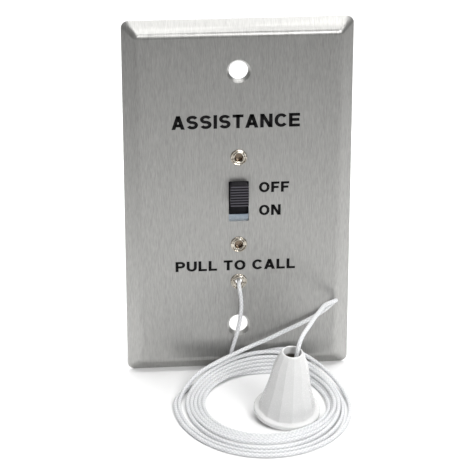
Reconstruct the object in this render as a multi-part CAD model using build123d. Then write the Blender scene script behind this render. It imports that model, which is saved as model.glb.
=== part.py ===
from build123d import *
import math
import os

# Pull cord switch on a single-gang wall plate, in millimetres.
# The row frame has +Z up and the plate's front facing -Y. Its origin is the middle of the
# plate's rim, on the wall. Switch pieces are drawn lying on their back, with x to the right,
# y up the wall and z out of the wall, and are then stood up.

# Wall plate
PLATE_WIDTH = 69.85
PLATE_HEIGHT = 114.3
PLATE_DEPTH = 3.6
SHEET = 0.9
FLANGE_SLOPE = 42
BEND_RADIUS = 2.5
RIM_CORNER = 2.2
FACE_CORNER = 1.25
SCREW_SPACING = 83.34
SCREW_HOLE_R = 2.9
DISH_R = 3.65
DISH_BACK = 1.75
SLOT_WIDTH = 6.2
SLOT_LENGTH = 13.1
RIVET_SPACING = 28.575
EYELET_Y = -26.73
FACE_BACK = PLATE_DEPTH - SHEET

# Rivets and eyelet
RIVET_HOLE_R = 1.75
ROLL_R = 2.6
ROLL_HEIGHT = 0.55
ROLL_BORE_R = 1.45
RIVET_HEAD_R = 2.5
RIVET_HEAD = 1.0

# Slide switch
FRAME_SHEET = 0.8
FRAME_WIDTH = 13.0
FRAME_LENGTH = 23.0
EAR_WIDTH = 9.6
EAR_LENGTH = 35.4
FRAME_WALL_DROP = 7.3
FRAME_SLOT_LOW = -4.6
FRAME_SLOT_HIGH = 6.55
FRAME_BACK = FACE_BACK - FRAME_SHEET
WALL_FOOT = FACE_BACK - FRAME_WALL_DROP
TAB_WIDTH = 2.4
TAB_Y = 7.5
TAB_REACH = 2.4
TAB_SHEET = 0.7
BOARD_THICKNESS = 1.2
BOARD_LENGTH = 22.4
TERMINAL_X = 3.0
TERMINAL_PITCH = 3.7

# Slider, with the knob in its upper, off position
TRAVEL = 3.7
KNOB_WIDTH = 5.6
KNOB_LOW = -0.8
KNOB_HIGH = 6.4
KNOB_FRONT = 7.0
KNOB_CORNER = 0.9
RIB_PITCH = 0.865
RIB_R = 0.46
RIB_COUNT = 8
BASE_WIDTH = 10.4
BASE_LOW = -6.2
BASE_HIGH = 10.4
BASE_FRONT = 1.75
BASE_BACK = -1.6
CLIP_Y = 1.85
CLIP_WIDTH = 1.7
CLIP_SHEET = 0.3
CLIP_HALF = 4.0
DETENT_Y = 8.3
DETENT_Z = 0.1
BALL_R = 1.0
BALL_X = 4.65
TAIL_LOW = -10.4
TAIL_WALL = 1.2
TAIL_WIDTH = 5.2
TAIL_FRONT = 0.5
TAIL_BACK = -2.9
CORD_BACK = 1.45

# Pull cord
CORD_D = 1.25
KNOT_R = 1.3
FLOOR_Z = -PLATE_HEIGHT / 2

# Pull bell, in front of the wall plate. It leans forward onto the front of its flange, and
# has an odd number of flats.
BELL_X = 11.65
BELL_Y = -37.1
BELL_LEAN_FORWARD = 11.3
BELL_LEAN_RIGHT = 2.7
BELL_HEIGHT = 22.0
BELL_FLATS = 13
BELL_TURN = 25.3
BELL_BORE_R = 2.65
BELL_RIM_ROUND = 0.35
BELL_WALL = 1.1
BELL_FLANGE_R = 10.05
BELL_FLANGE = 1.45
BELL_FLANGE_ROUND = 0.4
BELL_WEB_LOW = 12.4
BELL_WEB = 1.3
BELL_WEB_HOLE_R = 1.1
# height above the foot and distance across the flats, from the foot of the skirt to the rim
BELL_OUTLINE = [
    (1.45, 16.6),
    (3.4, 15.9),
    (5.0, 15.2),
    (7.0, 14.1),
    (9.4, 12.8),
    (11.5, 11.95),
    (14.0, 11.1),
    (17.1, 10.05),
    (18.9, 8.9),
    (22.0, 6.75),
]


def stand(shape):
    """Turn a piece drawn lying on its back so that its z points out of the wall."""
    return Rot(90, 0, 0) * shape


def block(x0, x1, y0, y1, z0, z1):
    size = (x1 - x0, y1 - y0, z1 - z0)
    return Pos((x0 + x1) / 2, (y0 + y1) / 2, (z0 + z1) / 2) * Box(*size)


def disc(radius, x, y, z0, z1):
    return Pos(x, y, (z0 + z1) / 2) * Cylinder(radius, z1 - z0)


def taper(r_low, r_high, y, z0, z1):
    return Pos(0, y, (z0 + z1) / 2) * Cone(r_low, r_high, z1 - z0)


def pan(rim_inset, rim_z, top_inset, top_z, bend):
    """A block with four sloping sides whose upper edges are rounded, the inside or outside of the plate."""
    rim = RectangleRounded(PLATE_WIDTH - 2 * rim_inset, PLATE_HEIGHT - 2 * rim_inset, RIM_CORNER)
    top = RectangleRounded(PLATE_WIDTH - 2 * top_inset, PLATE_HEIGHT - 2 * top_inset, FACE_CORNER)
    body = loft([Pos(0, 0, rim_z) * rim, Pos(0, 0, top_z) * top], ruled=True)
    return fillet(body.edges().group_by(Axis.Z)[-1], bend)


def wall_plate():
    slope = math.tan(math.radians(FLANGE_SLOPE))
    across = SHEET / math.sin(math.radians(FLANGE_SLOPE))
    below = 1.0
    outer = pan(0, 0, PLATE_DEPTH / slope, PLATE_DEPTH, BEND_RADIUS)
    inner = pan(across - below / slope, -below, across + FACE_BACK / slope, FACE_BACK, BEND_RADIUS - SHEET)
    plate = outer - inner
    for y in (-SCREW_SPACING / 2, SCREW_SPACING / 2):
        plate += taper(SCREW_HOLE_R + 0.7, DISH_R + SHEET, y, DISH_BACK, FACE_BACK + 0.1)
        plate -= taper(SCREW_HOLE_R, DISH_R, y, DISH_BACK + 0.55, PLATE_DEPTH + 0.001)
        plate -= disc(SCREW_HOLE_R, 0, y, DISH_BACK - 1, DISH_BACK + 0.6)
    for y in (RIVET_SPACING / 2, -RIVET_SPACING / 2, EYELET_Y):
        plate -= disc(RIVET_HOLE_R, 0, y, FACE_BACK - 1, PLATE_DEPTH + 1)
    slot = RectangleRounded(SLOT_WIDTH, SLOT_LENGTH, 0.3)
    plate -= Pos(0, 0, FACE_BACK - 1) * extrude(slot, SHEET + 2)
    return stand(plate)


def rolled_end(y):
    """The front end of a tubular rivet, rolled outwards into a rounded ring on the plate's face."""
    ring = disc(ROLL_R, 0, y, PLATE_DEPTH, PLATE_DEPTH + ROLL_HEIGHT)
    ring -= disc(ROLL_BORE_R, 0, y, PLATE_DEPTH - 1, PLATE_DEPTH + 1)
    crest = ring.edges().filter_by(GeomType.CIRCLE).group_by(Axis.Z)[-1].sort_by(SortBy.RADIUS)
    ring = fillet(crest[-1], ROLL_HEIGHT - 0.05)
    inner = ring.edges().filter_by(GeomType.CIRCLE).group_by(Axis.Z)[-1].sort_by(SortBy.RADIUS)
    return fillet(inner[0], 0.4)


def rivet(y):
    """A semi-tubular rivet: a solid head behind the switch's ear and a rolled hollow end in front."""
    head_z = FRAME_BACK - RIVET_HEAD
    head = disc(RIVET_HEAD_R, 0, y, head_z, FRAME_BACK)
    head = fillet(head.edges().group_by(Axis.Z)[0], 0.4)
    shank = disc(RIVET_HOLE_R - 0.03, 0, y, FRAME_BACK, PLATE_DEPTH)
    piece = head + shank + rolled_end(y)
    piece -= disc(ROLL_BORE_R, 0, y, FRAME_BACK + 0.2, PLATE_DEPTH + 1)
    return stand(piece)


def cord_eyelet():
    barrel = disc(RIVET_HOLE_R - 0.03, 0, EYELET_Y, FACE_BACK, PLATE_DEPTH)
    rear = disc(RIVET_HEAD_R, 0, EYELET_Y, FACE_BACK - 0.5, FACE_BACK)
    rear = fillet(rear.edges().group_by(Axis.Z)[0], 0.3)
    piece = barrel + rear + rolled_end(EYELET_Y)
    piece -= disc(ROLL_BORE_R, 0, EYELET_Y, FACE_BACK - 1, PLATE_DEPTH + 1)
    return stand(piece)


def switch_frame():
    """A steel channel with an ear at each end and four tabs folded over the terminal board."""
    half = FRAME_WIDTH / 2
    frame = block(-half, half, -FRAME_LENGTH / 2, FRAME_LENGTH / 2, WALL_FOOT, FACE_BACK)
    long_edges = frame.edges().filter_by(Axis.Y).group_by(Axis.Z)[-1]
    frame = fillet(long_edges, FRAME_SHEET)
    inside = half - FRAME_SHEET
    frame -= block(-inside, inside, -FRAME_LENGTH, FRAME_LENGTH, WALL_FOOT - 1, FRAME_BACK)
    ears = extrude(RectangleRounded(EAR_WIDTH, EAR_LENGTH, 3.0), FRAME_SHEET)
    frame += Pos(0, 0, FRAME_BACK) * ears
    slot_length = FRAME_SLOT_HIGH - FRAME_SLOT_LOW
    slot_y = (FRAME_SLOT_HIGH + FRAME_SLOT_LOW) / 2
    slot = extrude(RectangleRounded(SLOT_WIDTH - 0.1, slot_length, 0.3), 3)
    frame -= Pos(0, slot_y, FRAME_BACK - 1) * slot
    for y in (RIVET_SPACING / 2, -RIVET_SPACING / 2):
        frame -= disc(RIVET_HOLE_R, 0, y, FRAME_BACK - 1, FACE_BACK + 1)
    for y in (DETENT_Y, DETENT_Y - TRAVEL):
        frame -= Pos(0, y, DETENT_Z) * Rot(0, 90, 0) * Cylinder(0.7, FRAME_WIDTH + 2)
    board_back = WALL_FOOT - BOARD_THICKNESS
    for side in (-1, 1):
        for y in (-TAB_Y, TAB_Y):
            frame += tab(side, y, board_back)
    return stand(frame)


def tab(side, y, board_back):
    half = FRAME_WIDTH / 2
    low, high = y - TAB_WIDTH / 2, y + TAB_WIDTH / 2
    back = board_back - TAB_SHEET
    leg = block(half - FRAME_SHEET, half, low, high, back, WALL_FOOT)
    leg += block(half - TAB_REACH, half, low, high, back, board_back)
    if side < 0:
        leg = mirror(leg, Plane.YZ)
    return leg


def terminal_board():
    half = FRAME_WIDTH / 2
    board_back = WALL_FOOT - BOARD_THICKNESS
    board = block(-half, half, -BOARD_LENGTH / 2, BOARD_LENGTH / 2, board_back, WALL_FOOT)
    notch = half - FRAME_SHEET - 0.05
    for y in (-TAB_Y, TAB_Y):
        low, high = y - TAB_WIDTH / 2 - 0.1, y + TAB_WIDTH / 2 + 0.1
        for x0, x1 in ((notch, half + 1), (-half - 1, -notch)):
            board -= block(x0, x1, low, high, board_back - 1, WALL_FOOT + 1)
    for x, y in terminal_places():
        board -= disc(0.75, x, y, board_back - 1, WALL_FOOT + 1)
    return stand(board)


def terminal_places():
    rows = (TERMINAL_PITCH, 0, -TERMINAL_PITCH)
    return [(x, y) for y in rows for x in (-TERMINAL_X, TERMINAL_X)]


def terminal(x, y):
    """A contact head inside the board, riveted through it to a solder lug."""
    board_back = WALL_FOOT - BOARD_THICKNESS
    head = disc(1.15, x, y, WALL_FOOT, WALL_FOOT + 0.4)
    head = fillet(head.edges().group_by(Axis.Z)[-1], 0.25)
    piece = head + disc(0.72, x, y, board_back, WALL_FOOT)
    piece += disc(1.2, x, y, board_back - 0.3, board_back)
    lug_end = board_back - 5.4
    lug = block(x - 1.0, x + 1.0, y - 0.25, y + 0.25, lug_end, board_back - 0.2)
    lug = fillet(lug.edges().filter_by(Axis.Y).group_by(Axis.Z)[0], 0.7)
    lug -= Pos(x, y, lug_end + 1.5) * Rot(90, 0, 0) * Cylinder(0.55, 2)
    return stand(piece + lug)


def knob():
    """The knob: a rounded block whose front is a row of half-round ribs."""
    length = KNOB_HIGH - KNOB_LOW
    middle = (KNOB_HIGH + KNOB_LOW) / 2
    outline = RectangleRounded(KNOB_WIDTH, length, KNOB_CORNER)
    rib_root = KNOB_FRONT - RIB_R
    body = Pos(0, middle, BASE_FRONT - 0.2) * extrude(outline, rib_root - BASE_FRONT + 0.2)
    cap = Pos(0, middle, rib_root) * extrude(outline, RIB_R)
    first = middle - RIB_PITCH * (RIB_COUNT - 1) / 2
    ribs = Part()
    for i in range(RIB_COUNT):
        rib = Cylinder(RIB_R, KNOB_WIDTH)
        ribs += Pos(0, first + i * RIB_PITCH, rib_root) * Rot(0, 90, 0) * rib
    return body + (cap & ribs)


def slider_knob():
    half = BASE_WIDTH / 2
    slider = block(-half, half, BASE_LOW, BASE_HIGH, BASE_BACK, BASE_FRONT)
    slider += knob()
    for x in (-TERMINAL_X, TERMINAL_X):
        x0, x1 = x - CLIP_WIDTH / 2 - 0.15, x + CLIP_WIDTH / 2 + 0.15
        y0, y1 = CLIP_Y - CLIP_HALF - 0.3, CLIP_Y + CLIP_HALF + 0.3
        slider -= block(x0, x1, y0, y1, BASE_BACK - 1, BASE_BACK + 0.95)
    bore = Cylinder(BALL_R + 0.06, BASE_WIDTH + 2)
    slider -= Pos(0, DETENT_Y, DETENT_Z) * Rot(0, 90, 0) * bore
    tail_half = TAIL_WIDTH / 2
    tail = block(-tail_half, tail_half, TAIL_LOW, BASE_LOW, TAIL_BACK, TAIL_FRONT)
    pocket_low = TAIL_LOW + TAIL_WALL
    tail -= block(-1.7, 1.7, pocket_low, BASE_LOW + 1, TAIL_BACK - 1, 0)
    tail -= Pos(0, TAIL_LOW, -CORD_BACK) * Rot(90, 0, 0) * Cylinder(0.9, 4)
    return stand(slider + tail)


def contact_clip(x):
    """A bent phosphor bronze strip that bridges two neighbouring contact heads."""
    bar = BASE_BACK + 0.95 - CLIP_SHEET / 2
    touch = WALL_FOOT + 0.4 + 0.2 + CLIP_SHEET / 2
    reach = TERMINAL_PITCH / 2
    left = [(-0.6, touch + 0.7), (-reach, touch), (-CLIP_HALF, touch + 1.3), (-CLIP_HALF, bar)]
    right = [(-px, py) for px, py in reversed(left)]
    strip = trace(Polyline(*left, *right), CLIP_SHEET)
    sheet = extrude(Plane.YZ * strip, CLIP_WIDTH / 2, both=True)
    return stand(Pos(x, CLIP_Y, 0) * sheet)


def detent_ball(side):
    return stand(Pos(side * BALL_X, DETENT_Y, DETENT_Z) * Sphere(BALL_R))


def detent_spring():
    length = 2 * (BALL_X - BALL_R)
    sleeve = Cylinder(0.85, length) - Cylinder(0.55, length)
    return stand(Pos(0, DETENT_Y, DETENT_Z) * Rot(0, 90, 0) * sleeve)


def cord_tube(name, route, radii=None):
    """A round cord along straight runs joined by tangent arcs, each as large as its runs allow."""
    points = [Vector(*p) for p in route]
    arcs = []
    for before, at, after in zip(points, points[1:], points[2:]):
        into, out = at - before, after - at
        turn = math.radians(into.get_angle(out))
        shorter = min(into.length, out.length)
        arcs.append(0.45 * shorter / math.tan(turn / 2))
    path = FilletPolyline(*points, radius=radii or arcs)
    start = Plane(origin=path @ 0, z_dir=path % 0)
    tube = sweep(start * Circle(CORD_D / 2), path=path)
    section = math.pi * CORD_D**2 / 4
    print(name, "radii", [round(r, 2) for r in radii or arcs])
    print(name, "length", round(path.length, 2), "volume ratio", round(tube.volume / section / path.length, 4))
    return tube


def cord_inner_run():
    """From the knot in the slider's tail, down behind the plate and out through the eyelet."""
    top = TAIL_LOW + TAIL_WALL
    slope = 0.45
    exit_y, exit_z = cord_exit()[1:]
    bend_z = exit_z + slope * (CORD_BACK - exit_y)
    route = [(0, CORD_BACK, top), (0, CORD_BACK, bend_z), (0, exit_y, exit_z)]
    return cord_tube("cord_inner_run", route, [4.0])


def cord_exit():
    """Where the free cord starts: low in the eyelet's mouth."""
    return (0.0, -PLATE_DEPTH - 0.5, EYELET_Y - 0.6)


LEAD_ROUTE = [
    cord_exit(),
    (0.05, -5.5, -28.5),
    (0.45, -5.7, -31.0),
    (0.75, -5.2, -34.6),
    (0.3, -4.9, -39.4),
    (-0.7, -4.7, -44.2),
    (-2.0, -4.6, -48.4),
]

TAIL_ROUTE = [
    (3.4, -6.0, -48.7),
    (8.6, -5.9, -46.4),
    (14.0, -5.5, -43.6),
    (19.6, -5.3, -41.1),
    (24.6, -4.9, -38.6),
    (28.6, -4.7, -36.2),
    (31.2, -4.6, -34.2),
    (32.1, -5.9, -33.0),
    (31.0, -7.9, -32.5),
    (28.4, -10.4, -32.1),
    (25.7, -14.4, -31.4),
    (23.7, -19.0, -30.8),
    (21.8, -23.8, -30.3),
    (20.1, -28.4, -29.9),
    (18.5, -32.8, -29.7),
    (16.8, -37.0, -29.5),
    (15.3, -40.0, -30.3),
    (14.3, -41.5, -32.7),
    (13.9, -41.4, -35.6),
    (13.2, -40.7, -38.6),
    (12.5, -39.9, -41.4),
    (12.25, -39.5, -42.95),
]


def cord_coil():
    """The outer shape of the coil: a flat ring whose back climbs up against the plate."""
    outer = coil_outline(32.2, -31.0, 4.5, -64.0, -22.6, -29.0, 9.0, -3.75)
    inner = coil_outline(24.7, -29.0, 9.0, -50.0, -12.9, -28.0, 6.0, -7.7)
    ring = extrude(outer - inner, 9.0)
    side = Polyline((-65, 0), (-3, 0), (-3, 8.6), (-6.5, 8.6), (-16, 4.2), (-31, 2.5), (-65, 1.4), close=True)
    profile = extrude(Plane.YZ * make_face(side), 40, both=True)
    return Pos(0, 0, FLOOR_Z) * (ring & profile)


def coil_outline(right, right_y, front_x, front, left, left_y, back_x, back):
    """A loop of four quarter ellipses, given its furthest point on each side."""
    quarters = [
        EllipticalCenterArc((front_x, right_y), right - front_x, right_y - front, -90),
        EllipticalCenterArc((back_x, right_y), right - back_x, back - right_y, 0),
        EllipticalCenterArc((back_x, left_y), back_x - left, back - left_y, 90),
        EllipticalCenterArc((front_x, left_y), front_x - left, left_y - front, 180),
    ]
    return make_face(Wire(quarters))


def flat_sided(levels, shrink):
    """A faceted shell: polygons with a fixed number of flats, joined level by level."""
    half_flat = math.radians(180 / BELL_FLATS)
    outlines = []
    for height, across in levels:
        radius = (across / 2 - shrink) / math.cos(half_flat)
        outlines.append(Pos(0, 0, height) * RegularPolygon(radius, BELL_FLATS, rotation=BELL_TURN))
    return loft(outlines, ruled=True)


def bell_place():
    """Where the bell stands: tipped forward and a little right, with its flange's edge on the floor."""
    lean = math.acos(math.cos(math.radians(BELL_LEAN_FORWARD)) * math.cos(math.radians(BELL_LEAN_RIGHT)))
    drop = (BELL_FLANGE_R - BELL_FLANGE_ROUND) * math.sin(lean) + BELL_FLANGE_ROUND * (1 - math.cos(lean))
    return Pos(BELL_X, BELL_Y, FLOOR_Z + drop) * Rot(BELL_LEAN_FORWARD, BELL_LEAN_RIGHT, 0)


def pull_bell():
    """A hollow, flat-sided bell: an open neck above an inner web, and an open skirt below it."""
    bell = flat_sided(BELL_OUTLINE, 0)
    rim_low = BELL_HEIGHT - 2 * BELL_RIM_ROUND
    neck = disc(BELL_OUTLINE[-1][1] / 2, 0, 0, rim_low, BELL_HEIGHT)
    neck = fillet(neck.edges().group_by(Axis.Z)[-1], BELL_RIM_ROUND)
    bell = bell - disc(20, 0, 0, rim_low, BELL_HEIGHT + 1) + neck
    flange = fillet(disc(BELL_FLANGE_R, 0, 0, 0, BELL_FLANGE).edges(), BELL_FLANGE_ROUND)
    bell += flange
    skirt = [(-0.5, 17.0)] + [level for level in BELL_OUTLINE if level[0] < BELL_WEB_LOW]
    web_across = 11.6
    bell -= flat_sided(skirt + [(BELL_WEB_LOW, web_across)], BELL_WALL)
    bell -= disc(BELL_BORE_R, 0, 0, BELL_WEB_LOW + BELL_WEB, BELL_HEIGHT + 1)
    bell -= disc(BELL_WEB_HOLE_R, 0, 0, 0, BELL_HEIGHT)
    return bell_place() * bell


def end_knot():
    """The knot under the bell's inner web, on the bell's own axis."""
    return bell_place() * Pos(0, 0, BELL_WEB_LOW - 0.8) * Sphere(KNOT_R)


def knot(x, y, z):
    return Pos(x, y, z) * Sphere(KNOT_R)


def pieces():
    """Every piece by its name."""
    made = {
        "wall_plate": wall_plate(),
        "upper_rivet": rivet(RIVET_SPACING / 2),
        "lower_rivet": rivet(-RIVET_SPACING / 2),
        "cord_eyelet": cord_eyelet(),
        "switch_frame": switch_frame(),
        "terminal_board": terminal_board(),
        "slider_knob": slider_knob(),
        "contact_clip_left": contact_clip(-TERMINAL_X),
        "contact_clip_right": contact_clip(TERMINAL_X),
        "detent_spring": detent_spring(),
        "detent_ball_left": detent_ball(-1),
        "detent_ball_right": detent_ball(1),
        "cord_inner_knot": knot(0, CORD_BACK, TAIL_LOW + TAIL_WALL + KNOT_R + 0.05),
        "cord_inner_run": cord_inner_run(),
        "cord_lead": cord_tube("cord_lead", LEAD_ROUTE),
        "cord_coil": cord_coil(),
        "cord_tail": cord_tube("cord_tail", TAIL_ROUTE),
        "cord_end_knot": end_knot(),
        "pull_bell": pull_bell(),
    }
    names = [f"terminal_{row}_{side}" for row in ("upper", "middle", "lower") for side in ("left", "right")]
    for name, place in zip(names, terminal_places()):
        made[name] = terminal(*place)
    return made


os.makedirs("parts", exist_ok=True)
for node, shape in pieces().items():
    export_step(shape, f"parts/{node}.step")
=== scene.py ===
import math

import bpy
import numpy as np
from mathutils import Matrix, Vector


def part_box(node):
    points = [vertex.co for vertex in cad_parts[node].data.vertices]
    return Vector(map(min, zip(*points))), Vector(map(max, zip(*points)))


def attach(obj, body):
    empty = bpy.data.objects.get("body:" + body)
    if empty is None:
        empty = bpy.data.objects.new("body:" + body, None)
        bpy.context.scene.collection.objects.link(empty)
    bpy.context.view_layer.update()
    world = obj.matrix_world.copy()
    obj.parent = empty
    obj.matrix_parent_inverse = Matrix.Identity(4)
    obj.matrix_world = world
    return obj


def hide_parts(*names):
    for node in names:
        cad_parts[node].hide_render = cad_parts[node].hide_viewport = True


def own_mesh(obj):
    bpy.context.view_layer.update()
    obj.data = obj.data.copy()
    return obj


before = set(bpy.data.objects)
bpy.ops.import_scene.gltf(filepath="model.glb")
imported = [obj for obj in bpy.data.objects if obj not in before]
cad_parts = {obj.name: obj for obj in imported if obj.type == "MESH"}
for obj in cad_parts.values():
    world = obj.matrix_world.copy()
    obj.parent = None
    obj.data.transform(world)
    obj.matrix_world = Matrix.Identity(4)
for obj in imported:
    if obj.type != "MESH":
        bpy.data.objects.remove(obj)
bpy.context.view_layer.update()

# Wall plate ----------------------------------------------------------------------------------
# One sheet of stainless steel, drawn into a shallow pan with four sloping sides and two dished
# screw holes, then belt-brushed from top to bottom, so that every scratch runs up the wall.

MM = 0.001
plate_low, plate_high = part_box("wall_plate")
FACE_Y = plate_low.y
FLOOR_Z = plate_low.z

STEEL_DARK = (0.322, 0.32, 0.31)
STEEL_LIGHT = (0.47, 0.467, 0.454)
BRUSH_LINES_PER_M = 6400
BRUSH_STRETCH = 0.08
BRUSH_STRETCH_INWARD = 0.06
BAND_SHARE = 0.5


def node(tree, kind, inputs=(), **settings):
    """Adds a shader node. An input takes a value, or another node's output socket to link."""
    made = tree.nodes.new("ShaderNode" + kind)
    for key, value in settings.items():
        setattr(made, key, value)
    for key, value in dict(inputs).items():
        if isinstance(value, bpy.types.NodeSocket):
            tree.links.new(value, made.inputs[key])
        else:
            made.inputs[key].default_value = value
    return made


def shader_group(name, inputs, outputs):
    """An empty shader node group; returns it with its input and output nodes."""
    made = bpy.data.node_groups.new(name, "ShaderNodeTree")
    for label, kind, value in inputs:
        socket = made.interface.new_socket(label, in_out="INPUT", socket_type="NodeSocket" + kind)
        if value is not None:
            socket.default_value = value
    for label, kind in outputs:
        made.interface.new_socket(label, in_out="OUTPUT", socket_type="NodeSocket" + kind)
    return made, made.nodes.new("NodeGroupInput"), made.nodes.new("NodeGroupOutput")


def brushing_group():
    """Straight scratches: noise pulled out long along one direction, fine lines over broad bands."""
    inputs = [("Vector", "Vector", None), ("Stretch", "Vector", (1, 1, 1)), ("Lines", "Float", 1000)]
    made, entry, leave = shader_group("brushing", inputs, [("Fine", "Float"), ("Broad", "Float")])
    straight = {0: entry.outputs["Vector"], 1: entry.outputs["Stretch"]}
    pulled = node(made, "VectorMath", straight, operation="MULTIPLY")
    lines = {"Vector": pulled.outputs[0], "Scale": entry.outputs["Lines"], "Detail": 3.0}
    fine = node(made, "TexNoise", lines)
    slow = node(made, "Math", {0: entry.outputs["Lines"], 1: BAND_SHARE}, operation="MULTIPLY")
    bands = {"Vector": pulled.outputs[0], "Scale": slow.outputs[0], "Detail": 2.0}
    broad = node(made, "TexNoise", bands)
    made.links.new(fine.outputs["Fac"], leave.inputs["Fine"])
    made.links.new(broad.outputs["Fac"], leave.inputs["Broad"])
    return made


def grouped(tree, group, inputs):
    """Places a shader node group in a material with its own values."""
    made = tree.nodes.new("ShaderNodeGroup")
    made.node_tree = group
    for key, value in inputs.items():
        if isinstance(value, bpy.types.NodeSocket):
            tree.links.new(value, made.inputs[key])
        else:
            made.inputs[key].default_value = value
    return made


def finish(name, color, rough, metal=0.0, **more):
    """A new material with one Principled shader; returns it with its tree and that shader."""
    made = bpy.data.materials.new(name)
    made.use_nodes = True
    skin = made.node_tree.nodes["Principled BSDF"]
    skin.inputs["Base Color"].default_value = (*color, 1)
    skin.inputs["Roughness"].default_value = rough
    skin.inputs["Metallic"].default_value = metal
    for key, value in more.items():
        skin.inputs[key.replace("_", " ")].default_value = value
    return made, made.node_tree, skin


def coat(name, made):
    """Gives a CAD node its material."""
    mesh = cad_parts[name].data
    mesh.materials.clear()
    mesh.materials.append(made)


def between(tree, share, low, high):
    """A colour or number that runs from low to high as share runs from 0.3 to 0.7."""
    if isinstance(low, tuple):
        ramp = node(tree, "ValToRGB", {"Fac": share})
        ramp.color_ramp.elements[0].position = 0.3
        ramp.color_ramp.elements[1].position = 0.7
        ramp.color_ramp.elements[0].color = (*low, 1)
        ramp.color_ramp.elements[1].color = (*high, 1)
        return ramp.outputs["Color"]
    sizes = {"Value": share, "From Min": 0.3, "From Max": 0.7, "To Min": low, "To Max": high}
    return node(tree, "MapRange", sizes).outputs["Result"]


BRUSHING = brushing_group()


def brushed(name, dark, light, rough, stretch, lines, depth, **more):
    """A brushed metal: its scratches change its colour, its roughness and its surface height. The
    colour follows three parts of fine lines to seven of broad bands."""
    made, tree, skin = finish(name, light, rough[0], 1.0, **more)
    place = node(tree, "TexCoord")
    values = {"Vector": place.outputs["Object"], "Stretch": stretch, "Lines": lines}
    scratch = grouped(tree, BRUSHING, values)
    parts = {"Factor": 0.3, 2: scratch.outputs["Fine"], 3: scratch.outputs["Broad"]}
    mixed = node(tree, "Mix", parts, data_type="FLOAT")
    tree.links.new(between(tree, mixed.outputs[0], dark, light), skin.inputs["Base Color"])
    tree.links.new(between(tree, scratch.outputs["Fine"], *rough), skin.inputs["Roughness"])
    bump = node(tree, "Bump", {"Height": scratch.outputs["Fine"], "Strength": 0.5, "Distance": depth})
    tree.links.new(bump.outputs["Normal"], skin.inputs["Normal"])
    return made


stainless = brushed(
    "brushed_stainless",
    STEEL_DARK,
    STEEL_LIGHT,
    rough=(0.30, 0.44),
    stretch=(1, BRUSH_STRETCH_INWARD, BRUSH_STRETCH),
    lines=BRUSH_LINES_PER_M,
    depth=0.004 * MM,
    Anisotropic=0.5,
    Metallic=0.88,
)
coat("wall_plate", stainless)

# Legends -------------------------------------------------------------------------------------
# Bold block capitals printed on the plate's face in black ink: a line above the switch, a line
# below it, and the two positions of the knob beside it. The wording is plain and general.

INK_THICK = 0.02 * MM
# words, left, right, foot and top of the letters on the face, in mm
LEGENDS = {
    "legend_top": ("ASSISTANCE", -20.4, 18.6, 23.75, 28.1),
    "legend_low": ("PULL TO CALL", -19.65, 17.55, -22.9, -19.55),
    "legend_off": ("OFF", 6.2, 15.5, 2.7, 6.1),
    "legend_on": ("ON", 6.25, 12.95, -4.85, -1.4),
}


def unit(rows):
    """Vectors over their own lengths."""
    return rows / np.linalg.norm(rows, axis=-1, keepdims=True)


def grid_piece(name, points, faces, made):
    """A smooth mesh object from points and faces."""
    mesh = bpy.data.meshes.new(name)
    mesh.from_pydata(points, [], faces.tolist() if isinstance(faces, np.ndarray) else faces)
    mesh.shade_smooth()
    mesh.materials.append(made)
    piece = bpy.data.objects.new(name, mesh)
    bpy.context.scene.collection.objects.link(piece)
    return piece


def quads_between(rings, steps, closed):
    """The corners of the faces between neighbouring rings, each ring closed on itself. They face
    outwards when the rings turn left-handed about the way they follow each other."""
    ring, step = np.meshgrid(np.arange(rings if closed else rings - 1), np.arange(steps), indexing="ij")
    here, ahead = ring * steps, (ring + 1) % rings * steps
    after = (step + 1) % steps
    quads = np.stack([here + step, ahead + step, ahead + after, here + after], axis=-1)
    return quads.reshape(-1, 4), ring, step


# parts of a capital's height: the stems' thickness, the middle of its top bar, and the gaps
STEM = 0.215
HALF_STEM = STEM / 2
CAP_LINE = 1 - HALF_STEM
LETTER_GAP = 0.115
WORD_GAP = 0.36
SLANT_STEM = 1.08 * HALF_STEM
POINTS_PER_BOW = 22


def bow(x, y, across, tall, start, end):
    """Points along an arc of an ellipse, from one angle in degrees to another."""
    angle = np.radians(np.linspace(start, end, POINTS_PER_BOW))
    return np.stack([x + across * np.cos(angle), y + tall * np.sin(angle)], axis=1)


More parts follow.
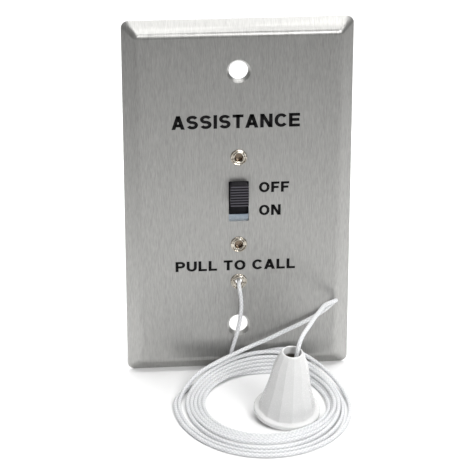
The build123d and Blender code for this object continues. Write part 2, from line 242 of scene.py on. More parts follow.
def letter_strokes(letter):
    """A block capital one unit tall as its width and its strokes. A stroke is the line along its
    middle; a slanting stroke is marked so that its ends are cut level."""
    left, foot, middle = HALF_STEM, HALF_STEM, 0.5
    if letter == "I":
        return STEM, [([(left, 0), (left, 1)], False)]
    if letter in "LEF":
        width = {"L": 0.62, "E": 0.67, "F": 0.63}[letter]
        bars = {"L": [foot], "E": [foot, 0.52, CAP_LINE], "F": [0.48, CAP_LINE]}[letter]
        short = {0.52: 0.04, 0.48: 0.06}
        strokes = [([(left, 0), (left, 1)], False)]
        return width, strokes + [([(left, y), (width - short.get(y, 0), y)], False) for y in bars]
    if letter == "T":
        return 0.66, [([(0, CAP_LINE), (0.66, CAP_LINE)], False), ([(0.33, 0), (0.33, 1)], False)]
    if letter == "A":
        sides = [([(x, 0), (0.39, 1)], True) for x in (0.105, 0.675)]
        return 0.78, sides + [([(0.2, 0.29), (0.58, 0.29)], False)]
    if letter == "N":
        stems = [([(x, 0), (x, 1)], False) for x in (left, 0.75 - left)]
        return 0.75, stems + [([(0.73 - left, 0), (left + 0.02, 1)], True)]
    if letter == "O":
        return 0.82, [(bow(0.41, middle, 0.41 - left, middle - foot, 0, 360), False)]
    if letter == "C":
        return 0.76, [(bow(0.41, middle, 0.41 - left, middle - foot, 38, 322), False)]
    if letter == "S":
        half = (CAP_LINE - middle) / 2
        upper = bow(0.35, middle + half, 0.35 - left, half, 22, 270)
        lower = bow(0.35, middle - half, 0.35 - left, half, 90, -158)
        return 0.70, [(np.vstack([upper, lower[1:]]), False)]
    if letter == "U":
        round_foot = bow(0.37, 0.38, 0.37 - left, 0.38 - foot, 180, 360)
        return 0.74, [(np.vstack([[(left, 1)], round_foot, [(0.74 - left, 1)]]), False)]
    half = (CAP_LINE - 0.46) / 2
    bowl = bow(0.60 - half, 0.46 + half, half, half, 90, -90)
    rest = np.vstack([[(left, CAP_LINE)], bowl, [(left, 0.46)]])
    return 0.69, [([(left, 0), (left, 1)], False), (rest, False)]


def stroke_ring(points, slanting):
    """Four corners round each point of a stroke: half a stem to each side of the line, or level to
    each side of a slanting one, and from the face to the front of the ink."""
    points = np.array(points, float)
    ahead = unit(np.gradient(points, axis=0))
    side = np.stack([ahead[:, 1], -ahead[:, 0]], axis=1) * HALF_STEM
    if slanting:
        side = np.tile([(SLANT_STEM, 0.0)], (len(points), 1))
    near, far = points - side, points + side
    flat = np.stack([near, far, far, near], axis=1)
    deep = np.tile([0.0, 0.0, 1.0, 1.0], (len(points), 1))[:, :, None]
    return np.concatenate([flat, deep], axis=2)


def legend(name, words, left, right, foot, top, ink):
    """One line of print, its letters side by side and stretched to fill a box on the face. Every
    stroke is a closed strip of ink a hair's breadth thick."""
    points, faces, start = [], [], 0.0
    for letter in words:
        if letter == " ":
            start += WORD_GAP
            continue
        width, strokes = letter_strokes(letter)
        for line, slanting in strokes:
            ring = stroke_ring(line, slanting) + (start, 0, 0)
            quads = quads_between(len(ring), 4, False)[0]
            ends = np.array([np.arange(4), np.array([3, 2, 1, 0]) + 4 * (len(ring) - 1)])
            faces.append(np.vstack([quads, ends]) + sum(len(p) for p in points))
            points.append(ring.reshape(-1, 3))
        start += width + LETTER_GAP
    spots = np.vstack(points)
    low, high = spots.min(axis=0), spots.max(axis=0)
    x, z, deep = ((spots - low) / (high - low)).T
    x, z = left + (right - left) * x, foot + (top - foot) * z
    y = FACE_Y / MM - deep * INK_THICK / MM
    piece = grid_piece(name, np.stack([x, y, z], axis=1) * MM, np.vstack(faces), ink)
    piece.data.shade_flat()
    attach(piece, "plate")


def speckle_group():
    """Fine grain over soft clouds, for paint, ink and moulded plastic."""
    inputs = [("Vector", "Vector", None), ("Grain", "Float", 4000), ("Clouds", "Float", 200)]
    made, entry, leave = shader_group("speckle", inputs, [("Grain", "Float"), ("Clouds", "Float")])
    for label, detail in (("Grain", 2.0), ("Clouds", 3.0)):
        sizes = {"Vector": entry.outputs["Vector"], "Scale": entry.outputs[label], "Detail": detail}
        made.links.new(node(made, "TexNoise", sizes).outputs["Fac"], leave.inputs[label])
    return made


SPECKLE = speckle_group()


def moulded(name, dark, light, rough, grain, clouds, depth, metal=0.0, **more):
    """A finish with soft clouds in its colour, and a fine grain in its roughness and height."""
    made, tree, skin = finish(name, light, rough[0], metal, **more)
    place = node(tree, "TexCoord").outputs["Object"]
    spots = grouped(tree, SPECKLE, {"Vector": place, "Grain": grain, "Clouds": clouds})
    tree.links.new(between(tree, spots.outputs["Clouds"], dark, light), skin.inputs["Base Color"])
    tree.links.new(between(tree, spots.outputs["Grain"], *rough), skin.inputs["Roughness"])
    bump = node(tree, "Bump", {"Height": spots.outputs["Grain"], "Strength": 0.6, "Distance": depth})
    tree.links.new(bump.outputs["Normal"], skin.inputs["Normal"])
    return made


black_ink = moulded(
    "black_ink",
    (0.004, 0.004, 0.004),
    (0.010, 0.009, 0.010),
    rough=(0.45, 0.65),
    grain=9000,
    clouds=900,
    depth=0.01 * MM,
    Specular_IOR_Level=0.08,
)
for name, place in LEGENDS.items():
    legend(name, *place, black_ink)

# Rivets --------------------------------------------------------------------------------------
# Two bright nickel-plated tubular rivets hold the switch's ears to the plate. Their hollow front
# ends are rolled outwards into small rings; the same roll finishes the cord's eyelet.


NICKEL_DARK = (0.40, 0.36, 0.30)
NICKEL_LIGHT = (0.72, 0.68, 0.60)
NICKEL_ROUGH = (0.10, 0.24)
DENTS_PER_M = 1500
DENT_DEPTH = 0.08 * MM
TARNISH = (0.21, 0.165, 0.125)


def over(made, mask, color):
    """Lays a second colour over a finish where a mask is 1."""
    tree = made.node_tree
    skin = tree.nodes["Principled BSDF"]
    under = skin.inputs["Base Color"].links[0].from_socket
    laid = node(tree, "Mix", {"Factor": mask, 6: under, 7: (*color, 1)}, data_type="RGBA")
    tree.links.new(laid.outputs[2], skin.inputs["Base Color"])


def ramp_in_depth(tree, start, end):
    """A mask that runs from 0 to 1 as a point's y runs from start to end."""
    place = node(tree, "TexCoord").outputs["Object"]
    depth = node(tree, "SeparateXYZ", {"Vector": place}).outputs["Y"]
    sizes = {"Value": depth, "From Min": start, "From Max": end}
    return node(tree, "MapRange", sizes).outputs["Result"]


def plated(name, bore_depth):
    """Bright nickel over rolled metal: soft dents from the rolling tool, and a brown tarnish that
    deepens inside the bore, from the plate's face to the bore's depth."""
    made, tree, skin = finish(name, NICKEL_LIGHT, NICKEL_ROUGH[0], 1.0)
    place = node(tree, "TexCoord").outputs["Object"]
    values = {"Vector": place, "Grain": DENTS_PER_M, "Clouds": 0.4 * DENTS_PER_M}
    dents = grouped(tree, SPECKLE, values).outputs
    bright = between(tree, dents["Clouds"], NICKEL_DARK, NICKEL_LIGHT)
    tree.links.new(bright, skin.inputs["Base Color"])
    tree.links.new(between(tree, dents["Grain"], *NICKEL_ROUGH), skin.inputs["Roughness"])
    pressed = {"Height": dents["Grain"], "Strength": 0.9, "Distance": DENT_DEPTH}
    tree.links.new(node(tree, "Bump", pressed).outputs["Normal"], skin.inputs["Normal"])
    behind_face = ramp_in_depth(tree, FACE_Y - 0.3 * MM, FACE_Y + 0.7 * MM)
    bore_end = FACE_Y + bore_depth
    before_end = ramp_in_depth(tree, bore_end + 0.1 * MM, bore_end)
    inside = node(tree, "Math", {0: behind_face, 1: before_end}, operation="MULTIPLY")
    over(made, inside.outputs[0], TARNISH)
    return made


nickel = plated("rivet_nickel", 1.5 * MM)
eyelet_nickel = plated("eyelet_nickel", 0.8 * MM)

RING_STEPS = 72
CRIMP_MARKS = 7
CRIMP_DEPTH = 0.035
CREST_HEIGHT = 0.4
OUT_OF_ROUND = 0.008
# radius and distance in front of the plate's face, in mm, of the rolled end from its bore outwards
ROLLED_END = [
    (1.28, -0.9),
    (1.22, -0.15),
    (1.24, 0.10),
    (1.38, 0.30),
    (1.62, 0.38),
    (1.88, 0.28),
    (1.96, 0.20),
    (2.06, 0.26),
    (2.20, 0.42),
    (2.36, 0.42),
    (2.50, 0.30),
    (2.58, 0.12),
    (2.60, 0.01),
    (1.72, 0.01),
]
RIVET_BORE = [
    (0.05, -1.45),
    (0.6, -1.45),
    (1.0, -1.45),
    (1.24, -1.4),
]
RIVET_BACK = [
    (1.72, -1.7),
    (2.10, -1.7),
    (2.50, -1.75),
    (2.50, -2.3),
    (2.35, -2.6),
    (2.10, -2.7),
    (0.4, -2.7),
]
EYELET_MOUTH = [
    (1.06, -0.9),
    (1.0, -0.15),
    (1.04, 0.10),
    (1.25, 0.30),
]
EYELET_BACK = [
    (1.72, -0.9),
    (2.35, -0.9),
    (2.50, -1.0),
    (2.50, -1.15),
    (2.30, -1.35),
    (1.60, -1.4),
    (1.14, -1.3),
]


def turned(name, outline, middle, made, closed):
    """A surface of revolution about a line out of the wall. The outline gives radius and distance
    in front of the face; rolling marks press its crest back and forth by two sines of the angle."""
    radius, out = np.array(outline).T
    angle = 2 * math.pi * np.arange(RING_STEPS) / RING_STEPS
    marks = np.sin(CRIMP_MARKS * angle + middle[1]) + 0.7 * np.sin((2 * CRIMP_MARKS + 1) * angle)
    crest = np.clip(out[:, None] / CREST_HEIGHT, 0, 1)
    pressed = out[:, None] + CRIMP_DEPTH * crest * marks
    spread = radius[:, None] * (1 + OUT_OF_ROUND * crest * np.sin(3 * angle + middle[1]))
    x = middle[0] + spread * np.cos(angle)
    z = middle[1] + spread * np.sin(angle)
    grid = np.stack([x, FACE_Y / MM - pressed, z], axis=-1) * MM
    return closed_surface(name, grid, made) if closed else surface(name, grid, made)


def surface(name, grid, made, uv=None):
    """A mesh from a grid of points, rings by steps round a ring, with its two ends closed by fans.
    uv gives each ring's and each step's place in the pattern."""
    rings, steps = grid.shape[:2]
    quads, ring, step = quads_between(rings, steps, False)
    first, last = rings * steps, rings * steps + 1
    turn = np.arange(steps)
    beside = (turn + 1) % steps
    end = (rings - 1) * steps
    start_fan = np.stack([np.full(steps, first), turn, beside], axis=-1)
    end_fan = np.stack([np.full(steps, last), end + beside, end + turn], axis=-1)
    points = np.vstack([grid.reshape(-1, 3), grid[0].mean(axis=0), grid[-1].mean(axis=0)])
    piece = grid_piece(name, points, quads.tolist() + start_fan.tolist() + end_fan.tolist(), made)
    if uv is not None:
        along, around = uv
        layer = piece.data.uv_layers.new(name="along")
        u = np.stack([around[step], around[step], around[step + 1], around[step + 1]], axis=-1)
        v = np.stack([along[ring], along[ring + 1], along[ring + 1], along[ring]], axis=-1)
        corners = np.stack([u, v], axis=-1).reshape(-1, 2)
        layer.data.foreach_set("uv", np.vstack([corners, np.zeros((steps * 6, 2))]).ravel())
    return piece


def closed_surface(name, grid, made):
    """A mesh from a grid that closes on itself both ways, like a ring."""
    rings, steps = grid.shape[:2]
    return grid_piece(name, grid.reshape(-1, 3), quads_between(rings, steps, True)[0], made)


def middle_of(name):
    """The middle of a CAD node's box, in metres."""
    low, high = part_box(name)
    return (np.array(low) + np.array(high)) / 2


for name in ("upper_rivet", "lower_rivet"):
    x, y, z = middle_of(name) / MM
    rivet = turned(name + "_rolled", RIVET_BORE + ROLLED_END + RIVET_BACK, (x, z), nickel, False)
    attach(rivet, "plate")
    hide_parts(name)

x, y, z = middle_of("cord_eyelet") / MM
eyelet_outline = EYELET_MOUTH + ROLLED_END[len(EYELET_MOUTH) :] + EYELET_BACK
eyelet = turned("cord_eyelet_rolled", eyelet_outline, (x, z), eyelet_nickel, True)
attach(eyelet, "plate")
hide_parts("cord_eyelet")

# Slide switch --------------------------------------------------------------------------------
# A pressed channel of blue zinc-plated steel, riveted behind the plate, with four tabs folded
# over a board of brown paper laminate that carries six tinned solder lugs.

blue_zinc = moulded(
    "blue_zinc",
    (0.22, 0.27, 0.325),
    (0.39, 0.435, 0.48),
    rough=(0.24, 0.40),
    grain=2600,
    clouds=260,
    depth=0.012 * MM,
    metal=1.0,
)
coat("switch_frame", blue_zinc)

brown_board = moulded(
    "brown_board",
    (0.12, 0.05, 0.02),
    (0.22, 0.10, 0.045),
    rough=(0.42, 0.62),
    grain=5200,
    clouds=700,
    depth=0.02 * MM,
)
coat("terminal_board", brown_board)

tinned_brass = moulded(
    "tinned_brass",
    (0.60, 0.56, 0.47),
    (0.78, 0.76, 0.70),
    rough=(0.22, 0.42),
    grain=2400,
    clouds=600,
    depth=0.02 * MM,
    metal=1.0,
)
for row in ("upper", "middle", "lower"):
    for side in ("left", "right"):
        coat(f"terminal_{row}_{side}", tinned_brass)

# Slider --------------------------------------------------------------------------------------
# Black glass-filled nylon, moulded in one with the ribbed knob in front and the cord's hook
# below. Two bronze strips in its back bridge the contacts; a spring and two balls snap its ends.

# colour and depth of the painted highlight on the front of the knob's ribs
CREST_HIGHLIGHT = (0.085, 0.08, 0.095)
CREST_HIGHLIGHT_DEPTH = 0.07 * MM
black_nylon = moulded(
    "black_nylon",
    (0.006, 0.006, 0.008),
    (0.012, 0.010, 0.014),
    rough=(0.24, 0.38),
    grain=7000,
    clouds=500,
    depth=0.008 * MM,
    Specular_IOR_Level=0.22,
)
knob_tree = black_nylon.node_tree
knob_skin = knob_tree.nodes["Principled BSDF"]
# painted highlight along the ribs: their frontmost part is coloured lighter than the black nylon, and
# made glossier
crest_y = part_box("slider_knob")[0].y
crest = ramp_in_depth(knob_tree, crest_y + CREST_HIGHLIGHT_DEPTH, crest_y)
over(black_nylon, crest, CREST_HIGHLIGHT)
polish = {"Value": crest, "To Min": 0.65, "To Max": 0.30}
polished = node(knob_tree, "MapRange", polish).outputs["Result"]
knob_tree.links.new(polished, knob_skin.inputs["Roughness"])
coat("slider_knob", black_nylon)

spring_bronze = brushed(
    "spring_bronze",
    (0.50, 0.27, 0.12),
    (0.66, 0.40, 0.20),
    rough=(0.20, 0.36),
    stretch=(1, 1, 0.05),
    lines=6000,
    depth=0.003 * MM,
)
coat("contact_clip_left", spring_bronze)
coat("contact_clip_right", spring_bronze)

ball_steel = moulded(
    "ball_steel",
    (0.52, 0.52, 0.53),
    (0.62, 0.62, 0.63),
    rough=(0.06, 0.14),
    grain=5000,
    clouds=900,
    depth=0.002 * MM,
    metal=1.0,
)
coat("detent_ball_left", ball_steel)
coat("detent_ball_right", ball_steel)

spring_low, spring_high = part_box("detent_spring")
SPRING_WIRE = 0.30 * MM
SPRING_TURNS = 9
ROUND_THE_WIRE = 10


def tube(points, radius, steps, sides):
    """Rings round a line: each ring's axes come from the line's direction and a given direction
    beside it. The radius is one number or a number for each ring and step."""
    ahead = unit(np.gradient(points, axis=0))
    across = unit(np.cross(ahead, sides))
    up = np.cross(across, ahead)
    angle = 2 * math.pi * np.arange(steps)[None, :, None] / steps
    ring = across[:, None, :] * np.cos(angle) + up[:, None, :] * np.sin(angle)
    return points[:, None, :] + np.broadcast_to(radius, (len(points), steps))[:, :, None] * ring


def coil_spring():
    """A helix between the two balls whose first and last turns close up to lie flat: the pitch
    falls to the wire's thickness at both ends."""
    turns = np.linspace(0, SPRING_TURNS, SPRING_TURNS * 28 + 1)
    centre = (np.array(spring_low) + np.array(spring_high)) / 2
    radius = (spring_high.z - spring_low.z) / 2 - SPRING_WIRE / 2
    changes = [0, 1, 2, SPRING_TURNS - 2, SPRING_TURNS - 1, SPRING_TURNS]
    pitch = np.interp(turns, changes, [1, 1, 3, 3, 1, 1])
    run = np.append(0, np.cumsum((pitch[1:] + pitch[:-1]) / 2))
    reach = spring_high.x - spring_low.x - SPRING_WIRE
    x = centre[0] - reach / 2 + reach * run / run[-1]
    y = centre[1] + radius * np.cos(2 * math.pi * turns)
    z = centre[2] + radius * np.sin(2 * math.pi * turns)
    points = np.stack([x, y, z], axis=1)
    return tube(points, SPRING_WIRE / 2, ROUND_THE_WIRE, np.array([1.0, 0, 0]))


spring_steel = moulded(
    "spring_steel",
    (0.34, 0.34, 0.35),
    (0.50, 0.50, 0.51),
    rough=(0.22, 0.38),
    grain=6000,
    clouds=1500,
    depth=0.004 * MM,
    metal=1.0,
)
spring = surface("detent_coil_spring", coil_spring(), spring_steel)
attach(spring, "slider")
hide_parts("detent_spring")

# Pull cord -----------------------------------------------------------------------------------
# White braided nylon, 1.25 mm thick. It drops from the eyelet, lies in seven loose turns whose
# backs climb against the plate, stands up in one narrow loop, and runs down into the bell.

CORD_D = 1.25 * MM
BRAID_STRANDS = 4
BRAID_LEAD = 5.4 * MM
RINGS_APART = 0.23 * MM
BRAID_RELIEF = 0.11
ROUND_THE_CORD = 16

LEAD_ROUTE = [
    (0.0, -4.1, -27.33),
    (0.05, -5.5, -28.5),
    (0.45, -5.7, -31.0),
    (0.75, -5.2, -34.6),
    (0.3, -4.9, -39.4),
    (-0.7, -4.7, -44.2),
    (-1.9, -4.6, -48.4),
    (-2.6, -4.4, -51.4),
    (-1.4, -4.35, -54.3),
    (1.6, -4.35, -54.4),
    (4.4, -4.35, -51.6),
]

TAIL_ROUTE = [
    (3.4, -6.0, -48.1),
    (8.6, -5.9, -46.1),
    (14.0, -5.5, -43.6),
    (19.6, -5.3, -41.1),
    (24.6, -4.9, -38.6),
    (27.8, -4.7, -36.4),
    (29.8, -4.6, -34.4),
    (30.5, -5.9, -33.2),
    (29.5, -7.9, -32.7),
    (27.3, -10.4, -32.2),
    (25.2, -14.4, -31.4),
    (23.7, -19.0, -30.8),
    (21.8, -23.8, -30.3),
    (20.1, -28.4, -29.9),
    (18.5, -32.8, -29.7),
    (16.8, -37.0, -29.5),
    (15.3, -40.0, -30.3),
    (14.3, -41.5, -32.7),
    (13.9, -41.4, -35.6),
    (13.2, -40.7, -38.6),
    (12.5, -39.9, -41.4),
    (12.25, -39.5, -42.95),
]

# The middle of the cord, in mm, where each turn is furthest back (y, height above the floor),
# right (x, height), forward (y, height) and left (x, height)
TURNS = [
    ((-4.35, 8.5), (31.6, 0.65), (-63.3, 0.65), (-21.95, 0.65)),
    ((-7.0, 0.65), (25.2, 0.65), (-50.7, 0.65), (-13.2, 0.65)),
    ((-6.75, 1.9), (26.4, 0.65), (-52.2, 0.65), (-14.45, 0.65)),
    ((-6.5, 3.1), (27.0, 1.7), (-53.6, 0.65), (-15.7, 0.65)),
    ((-6.3, 4.3), (27.6, 0.65), (-55.1, 0.65), (-16.95, 0.65)),
    ((-6.1, 5.5), (28.2, 1.7), (-58.9, 0.65), (-18.2, 0.65)),
    ((-5.8, 7.1), (29.5, 0.65), (-61.2, 0.65), (-20.7, 0.65)),
]
LAST_TURN_END = (-6.0, 9.6)
BACK_X = 9.0
FRONT_X = 4.5
RIGHT_Y = -31.0
LEFT_Y = -29.0
POINTS_PER_QUARTER = 6


def quarter_turn(start, end, centre):
    """A quarter of a turn from start to end, each (x, y, height). In plan it is a quarter ellipse
    about the centre. The height changes as the square of the cosine."""
    t = np.arange(POINTS_PER_QUARTER) / POINTS_PER_QUARTER * math.pi / 2
    out, back = np.cos(t)[:, None], np.sin(t)[:, None]
    start, end, centre = np.array(start), np.array(end), np.array(centre)
    plan = centre + (start[:2] - centre) * out + (end[:2] - centre) * back
    height = end[2] + (start[2] - end[2]) * out**2
    return np.hstack([plan, height + FLOOR_Z / MM])


def coil_points():
    """The route's points along all the turns: back, right, front, left, and back again."""
    quarters = []
    for i, (back, right, front, left) in enumerate(TURNS):
        after = TURNS[i + 1][0] if i + 1 < len(TURNS) else LAST_TURN_END
        ends = [
            (BACK_X, *back),
            (right[0], RIGHT_Y, right[1]),
            (FRONT_X, *front),
            (left[0], LEFT_Y, left[1]),
            (BACK_X, *after),
        ]
        centres = [(BACK_X, RIGHT_Y), (FRONT_X, RIGHT_Y), (FRONT_X, LEFT_Y), (BACK_X, LEFT_Y)]
        for j in range(4):
            quarters.append(quarter_turn(ends[j], ends[j + 1], centres[j]))
    return np.concatenate(quarters)


def smooth_line(route):
    """The smooth line that a route in mm controls: a NURBS spline of order 3, as points in metres."""
    data = bpy.data.curves.new("route", "CURVE")
    data.dimensions = "3D"
    data.resolution_u = 16
    spline = data.splines.new("NURBS")
    spline.points.add(len(route) - 1)
    weights = np.ones((len(route), 1))
    spline.points.foreach_set("co", np.hstack([np.array(route) * MM, weights]).ravel())
    spline.order_u = 3
    spline.use_endpoint_u = True
    holder = bpy.data.objects.new("route", data)
    mesh = bpy.data.meshes.new_from_object(holder)
    line = np.zeros(len(mesh.vertices) * 3)
    mesh.vertices.foreach_get("co", line)
    bpy.data.objects.remove(holder)
    bpy.data.curves.remove(data)
    bpy.data.meshes.remove(mesh)
    return line.reshape(-1, 3)


def evenly(line, apart):
    """The same line with its points a fixed distance apart, and how far along it each one is."""
    gaps = np.linalg.norm(np.diff(line, axis=0), axis=1)
    along = np.append(0, np.cumsum(gaps))
    places = np.linspace(0, along[-1], round(along[-1] / apart) + 1)
    return np.stack([np.interp(places, along, line[:, i]) for i in range(3)], axis=1), places


def braid_height(around, along):
    """How far a braid stands out, from about -1 to 1. Two sets of strands wind opposite ways. A
    strand's height is a round crown across it plus a sine along it, over one and under the next,
    and the surface is the higher of the two sets."""
    left = BRAID_STRANDS * (around + along)
    right = BRAID_STRANDS * (around - along)
    over_left = (-1.0) ** np.floor(left) * np.sin(np.pi * right)
    over_right = -((-1.0) ** np.floor(right)) * np.sin(np.pi * left)
    crown_left, crown_right = np.abs(np.sin(np.pi * left)), np.abs(np.sin(np.pi * right))
    return np.maximum(0.6 * over_left + crown_left, 0.6 * over_right + crown_right) - 0.9


def braided_tube(name, points, places, sides, made, thick=CORD_D):
    """A braided cord along points: its radius is half its thickness plus a share of the braid's
    height."""
    around = np.arange(ROUND_THE_CORD) / ROUND_THE_CORD
    relief = braid_height(around[None, :], places[:, None] / BRAID_LEAD)
    grid = tube(points, thick / 2 * (1 + BRAID_RELIEF * relief), ROUND_THE_CORD, sides)
    steps = np.arange(ROUND_THE_CORD + 1) / ROUND_THE_CORD
    return surface(name, grid, made, uv=(places / BRAID_LEAD, steps))


def braid_shade(tree, strands):
    """How deep in the braid a point lies, 0 on a strand's crown to 1 between strands, read from the
    piece's own map: the two sets of strands are folded sines of around plus and minus along. It masks
    the painted shade between the strands."""
    place = node(tree, "UVMap").outputs["UV"]
    parts = node(tree, "SeparateXYZ", {"Vector": place})
    deep = None
    for way in ("ADD", "SUBTRACT"):
        lean = node(tree, "Math", {0: parts.outputs["X"], 1: parts.outputs["Y"]}, operation=way)
        turns = node(tree, "Math", {0: lean.outputs[0], 1: strands * math.pi}, operation="MULTIPLY")
        wave = node(tree, "Math", {0: turns.outputs[0]}, operation="SINE")
        crown = node(tree, "Math", {0: wave.outputs[0]}, operation="ABSOLUTE")
        valley_shade = node(tree, "Math", {0: 1.0, 1: crown.outputs[0]}, operation="SUBTRACT")
        sharp = node(tree, "Math", {0: valley_shade.outputs[0], 1: 2.0}, operation="POWER")
        if deep is None:
            deep = sharp
        else:
            deep = node(tree, "Math", {0: deep.outputs[0], 1: sharp.outputs[0]}, operation="MAXIMUM")
    return deep.outputs[0], place


def braided_nylon(name, crown, valley_shade, rough):
    """White nylon yarn with painted shade between the strands, where a greyer colour is mixed in, and
    fine threads along the cord.
    """
    made, tree, skin = finish(name, crown, rough[0], Subsurface_Weight=0.35, Subsurface_Scale=1.0 * MM)
    skin.inputs["Subsurface Radius"].default_value = (1.0, 1.0, 1.0)
    deep, place = braid_shade(tree, BRAID_STRANDS)
    threads = node(tree, "TexNoise", {"Vector": place, "Scale": 26.0, "Detail": 3.0})
    clouds = node(tree, "TexNoise", {"Vector": node(tree, "TexCoord").outputs["Object"], "Scale": 320.0})
    shade = node(tree, "Mix", {"Factor": deep, 6: (*crown, 1), 7: (*valley_shade, 1)}, data_type="RGBA")
    tone = between(tree, clouds.outputs["Fac"], (0.93, 0.93, 0.94), (1.0, 1.0, 1.0))
    layers = {"Factor": 1.0, 6: shade.outputs[2], 7: tone}
    tinted = node(tree, "Mix", layers, data_type="RGBA", blend_type="MULTIPLY")
    tree.links.new(tinted.outputs[2], skin.inputs["Base Color"])
    tree.links.new(between(tree, threads.outputs["Fac"], *rough), skin.inputs["Roughness"])
    bump = node(tree, "Bump", {"Height": threads.outputs["Fac"], "Strength": 0.5, "Distance": 0.03 * MM})
    tree.links.new(bump.outputs["Normal"], skin.inputs["Normal"])
    return made


# the second colour is the painted shade between the braid's strands
cord_white = braided_nylon("braided_nylon", (0.80, 0.805, 0.81), (0.585, 0.595, 0.61), (0.36, 0.55))

# the lead and the tail stand in for the turns' first point and last two
coil = coil_points()[1:-2]
cord_route = np.concatenate([LEAD_ROUTE, coil, TAIL_ROUTE])
cord_points, cord_places = evenly(smooth_line(cord_route), RINGS_APART)
cord_length = cord_places[-1]

# directions beside the cord: the y axis where it hangs, up where it lies, level where it drops
side_at = np.array([0, 0.026, 0.034, cord_length - 0.045, cord_length - 0.035, cord_length])
side_to = np.array([(0, 1, 0), (0, 1, 0), (0, 0, 1), (0, 0, 1), (0.93, 0.35, 0), (0.93, 0.35, 0)])
cord_sides = np.stack([np.interp(cord_places, side_at, side_to[:, i]) for i in range(3)], axis=1)
cord = braided_tube("pull_cord", cord_points, cord_places, cord_sides, cord_white)
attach(cord, "plate")
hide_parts("cord_lead", "cord_coil", "cord_tail")

# Inner cord and knots --------------------------------------------------------------------------
# The same cord runs up behind the plate from the eyelet to the slider's hook. An overhand knot
# holds it there, and another holds it under the bell's inner web; both ends are heat-sealed.

INNER_TOP_Z = -9.2
INNER_ROUTE = [
    (0.0, 1.45, INNER_TOP_Z),
    (0.0, 1.45, -17.0),
    (0.0, 1.45, -24.2),
    (0.0, 0.7, -25.6),
    (0.0, -4.1, LEAD_ROUTE[0][2]),
]
inner_points, inner_places = evenly(smooth_line(np.array(INNER_ROUTE)), RINGS_APART)
inner_cord = braided_tube("inner_cord", inner_points, inner_places, np.array([1.0, 0, 0]), cord_white)
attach(inner_cord, "plate")
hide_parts("cord_inner_run")
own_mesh(inner_cord)

KNOT_THREAD = 0.80 * MM
KNOT_ACROSS = 0.44 * MM
KNOT_DEEP = 0.62 * MM


def overhand(name, middle, axis, made):
    """An overhand knot pulled tight, round an axis. Its line is a trefoil: sine plus twice the
    double sine across, cosine less twice the double cosine along, and a triple sine through."""
    t = np.linspace(0.35, 2 * math.pi + 0.25, 150)
    flat = np.stack([np.sin(t) + 2 * np.sin(2 * t), np.cos(t) - 2 * np.cos(2 * t)], axis=1)
    deep = -np.sin(3 * t)
    axis = unit(np.array(axis, float))
    beside = unit(np.cross(axis, np.array([0.3, 1.0, 0.2])))
    level = np.cross(axis, beside)
    across, through = flat * KNOT_ACROSS, deep * KNOT_DEEP
    line = np.array(middle) + across[:, :1] * beside + across[:, 1:] * axis + through[:, None] * level
    line, places = evenly(line, RINGS_APART)
    sides = unit(np.gradient(np.gradient(line, axis=0), axis=0)) + 1e-6
    return braided_tube(name, line, places, sides, made, KNOT_THREAD)


inner_knot = overhand("inner_knot", middle_of("cord_inner_knot"), (0, 0, 1), cord_white)
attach(inner_knot, "slider")
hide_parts("cord_inner_knot")

BELL_AXIS = (0.047106, -0.195729, 0.979526)
end_knot = overhand("end_knot", middle_of("cord_end_knot"), BELL_AXIS, cord_white)
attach(end_knot, "plate")
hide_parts("cord_end_knot")

# Pull bell -----------------------------------------------------------------------------------
# One moulding of glossy white plastic: a neck and a flaring skirt with flats, a round
# flange at its foot, and a web inside with a hole for the cord. It leans forward on its flange.

BELL_PLACE = (11.65, -37.1, -55.1991)
BELL_FLATS = 13
BELL_FIRST_CORNER = math.radians(25.3)
CORNER = 0.022
# height above the foot, radius or half the distance across the flats in mm, and how far the
# outline is flat-sided, 1, rather than round, 0
OUTSIDE = [
    (1.05, 10.05, 0),
    (1.30, 9.93, 0),
    (1.40, 9.65, 0),
    (1.50, 8.62, 0.5),
    (1.75, 8.24, 1),
    (3.4, 7.95, 1),
    (5.0, 7.6, 1),
    (7.0, 7.05, 1),
    (9.4, 6.4, 1),
    (11.5, 5.97, 1),
    (14.0, 5.55, 1),
    (16.9, 5.05, 1),
    (17.25, 4.95, 1),
    (17.9, 4.72, 1),
    (18.9, 4.42, 1),
    (20.4, 3.88, 1),
    (21.3, 3.5, 0.9),
    (21.7, 3.3, 0.5),
    (21.93, 3.1, 0.1),
    (22.0, 2.95, 0),
]
INSIDE = [
    (21.95, 2.75, 0),
    (21.75, 2.65, 0),
    (19.7, 2.65, 0),
    (19.1, 2.65, 0),
    (13.75, 2.65, 0),
    (13.7, 2.55, 0),
    (13.7, 1.2, 0),
    (13.6, 1.1, 0),
    (12.5, 1.1, 0),
    (12.4, 1.2, 0),
    (12.4, 4.5, 0.6),
    (12.3, 4.62, 1),
    (9.4, 5.3, 1),
    (7.0, 5.95, 1),
    (5.0, 6.5, 1),
    (1.7, 7.15, 1),
    (0.1, 7.4, 0.5),
    (0.0, 7.6, 0.2),
    (0.0, 9.65, 0),
    (0.06, 9.9, 0),
    (0.28, 10.05, 0),
]


# one closed outline, from the flange's foot up through the bore and down over the skirt
BELL_OUTLINE = np.array(OUTSIDE + INSIDE)[::-1]


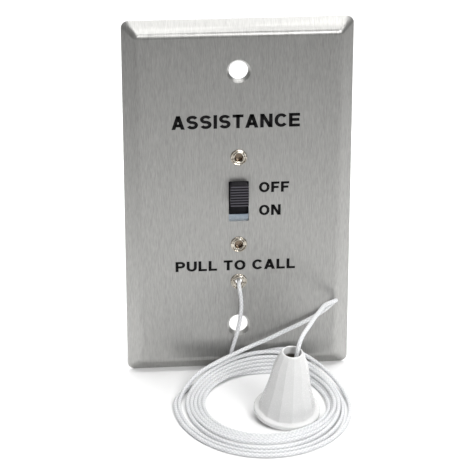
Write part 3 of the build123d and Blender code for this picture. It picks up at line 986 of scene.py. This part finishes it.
def bell_grid():
    """Rings of the closed outline. A ring is round, or a polygon whose radius is half its width over
    the cosine of the angle from its flat's middle; each corner is rounded between the points close
    to either side of it."""
    one_flat = 2 * math.pi / BELL_FLATS
    share = np.array([0.0, CORNER, 0.05, 0.13, 0.3, 0.5, 0.7, 0.87, 0.95, 1 - CORNER])
    angle = ((np.arange(BELL_FLATS)[:, None] + share[None, :]) * one_flat).ravel()
    from_flat = np.abs(np.tile(share, BELL_FLATS) - 0.5) * one_flat
    widened = 1 / np.cos(np.minimum(from_flat, (0.5 - CORNER) * one_flat))
    height, half, flat_share = BELL_OUTLINE.T
    radius = half[:, None] * (1 + flat_share[:, None] * (widened[None, :] - 1))
    angle = angle + BELL_FIRST_CORNER
    x, y = radius * np.cos(angle), radius * np.sin(angle)
    axis = np.array(BELL_AXIS)
    right = unit(np.array([axis[2], 0, -axis[0]]))
    back = np.cross(axis, right)
    points = x[:, :, None] * right + y[:, :, None] * back + height[:, None, None] * axis
    return (points + np.array(BELL_PLACE)) * MM


white_plastic = moulded(
    "white_plastic",
    (0.70, 0.70, 0.695),
    (0.74, 0.74, 0.735),
    rough=(0.20, 0.30),
    grain=2600,
    clouds=120,
    depth=0.006 * MM,
)
bell = closed_surface("bell", bell_grid(), white_plastic)

# painted shade: the bore's walls are coloured dark, from a little below its mouth to the foot of the
# web's hole, to stand in for the shade inside it
PAINTED_BORE_SHADE = (0.10, 0.088, 0.075)
BORE_SHADE_TOP = 19.1
BORE_SHADE_FOOT = 12.5
BORE_R = 2.65
ring_height, ring_radius = BELL_OUTLINE[:, :2].T
in_bore = (ring_radius <= BORE_R) & (ring_height <= BORE_SHADE_TOP) & (ring_height >= BORE_SHADE_FOOT)
bore_shade_layer = bell.data.attributes.new("bore_shade_layer", "FLOAT", "POINT")
points_per_ring = len(bell.data.vertices) // len(in_bore)
bore_shade_layer.data.foreach_set("value", np.repeat(in_bore.astype(float), points_per_ring))
bore_shade_mask = node(white_plastic.node_tree, "Attribute", attribute_name="bore_shade_layer").outputs["Fac"]
# lays the painted shade over the white plastic inside the bore
over(white_plastic, bore_shade_mask, PAINTED_BORE_SHADE)
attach(bell, "bell")
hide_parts("pull_bell")

# Floor, light and camera ---------------------------------------------------------------------
# A plain white floor, one softbox overhead, a weaker one in front on the right for the bell's
# flats, and one that lights the floor behind; the room itself is dim.

scene = bpy.context.scene
scene.view_settings.view_transform = "Standard"
FLOOR_EDGE = 1.6
floor_mesh = bpy.data.meshes.new("floor")
corners = [(x * FLOOR_EDGE, y * FLOOR_EDGE, FLOOR_Z) for x, y in [(-1, -1), (1, -1), (1, 1), (-1, 1)]]
floor_mesh.from_pydata(corners, [], [(0, 1, 2, 3)])
floor = bpy.data.objects.new("floor", floor_mesh)
floor_paint = moulded(
    "floor_paint",
    (0.90, 0.90, 0.90),
    (0.92, 0.92, 0.92),
    rough=(0.75, 0.85),
    grain=400,
    clouds=6,
    depth=0.01 * MM,
)
floor_mesh.materials.append(floor_paint)
scene.collection.objects.link(floor)

world = bpy.data.worlds.new("studio")
world.use_nodes = True
world.node_tree.nodes["Background"].inputs["Color"].default_value = (1, 1, 1, 1)
world.node_tree.nodes["Background"].inputs["Strength"].default_value = 0.25
scene.world = world


def softbox(name, place, toward, width, height, spread, watts):
    """A flat rectangular lamp at a place, facing another, its beam spread in degrees."""
    data = bpy.data.lights.new(name, "AREA")
    data.shape = "RECTANGLE"
    data.size = width
    data.size_y = height
    data.spread = math.radians(spread)
    data.energy = watts
    lamp = bpy.data.objects.new(name, data)
    lamp.location = place
    lamp.rotation_mode = "QUATERNION"
    lamp.rotation_quaternion = (Vector(toward) - Vector(place)).to_track_quat("-Z", "Y")
    scene.collection.objects.link(lamp)


softbox("overhead", (0.06, 0.10, 0.34), (0.06, 0.10, FLOOR_Z), 0.44, 0.46, 110, 1.06)
softbox("front", (0.33, -0.75, 0.50), (0, 0, 0), 0.40, 0.40, 40, 0.38)
softbox("behind", (0.0, 0.85, 0.60), (0.0, 0.70, FLOOR_Z), 1.4, 0.6, 120, 4.0)

CAMERA_PLACE = (-0.05311, -0.60933, 0.23722)
CAMERA_AIM = (-0.000235, 0, -0.013301)
CAMERA_LENS = 161.65
FULL_FRAME_WIDTH = 36
camera_data = bpy.data.cameras.new("camera")
camera_data.lens = CAMERA_LENS
camera_data.sensor_width = FULL_FRAME_WIDTH
camera = bpy.data.objects.new("camera", camera_data)
camera.location = CAMERA_PLACE
camera.rotation_mode = "QUATERNION"
camera.rotation_quaternion = (Vector(CAMERA_AIM) - Vector(CAMERA_PLACE)).to_track_quat("-Z", "Y")
scene.collection.objects.link(camera)
scene.camera = camera
